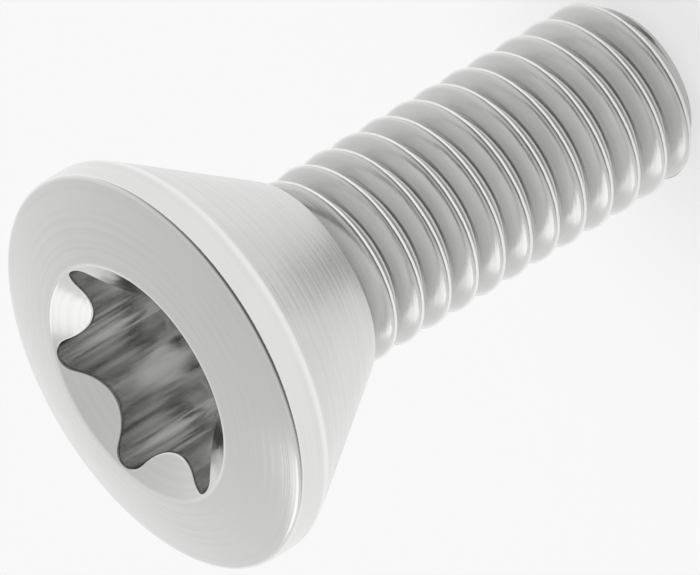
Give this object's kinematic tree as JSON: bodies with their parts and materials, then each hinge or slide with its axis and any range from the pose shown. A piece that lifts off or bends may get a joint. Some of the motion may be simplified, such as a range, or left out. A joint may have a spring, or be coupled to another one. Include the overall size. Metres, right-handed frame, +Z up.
{
  "type": "hexalobular countersunk screw",
  "caption": "Countersunk machine screw with a low domed head, a straight rim, a hexalobular drive socket, a steep cone and a metric thread that runs up to the head.",
  "frame": {"origin": "the middle of the flat tip that the screw stands on", "axes": "+Z up along the screw's axis, from the tip to the head; +X through the middle of a lobe of the socket"},
  "size_m": [0.0084, 0.0084, 0.0129],
  "materials": {
    "steel": "bright plain steel with fine turning marks"
  },
  "bodies": {
    "root": {"screw": "steel"}
  },
  "joints": []
}
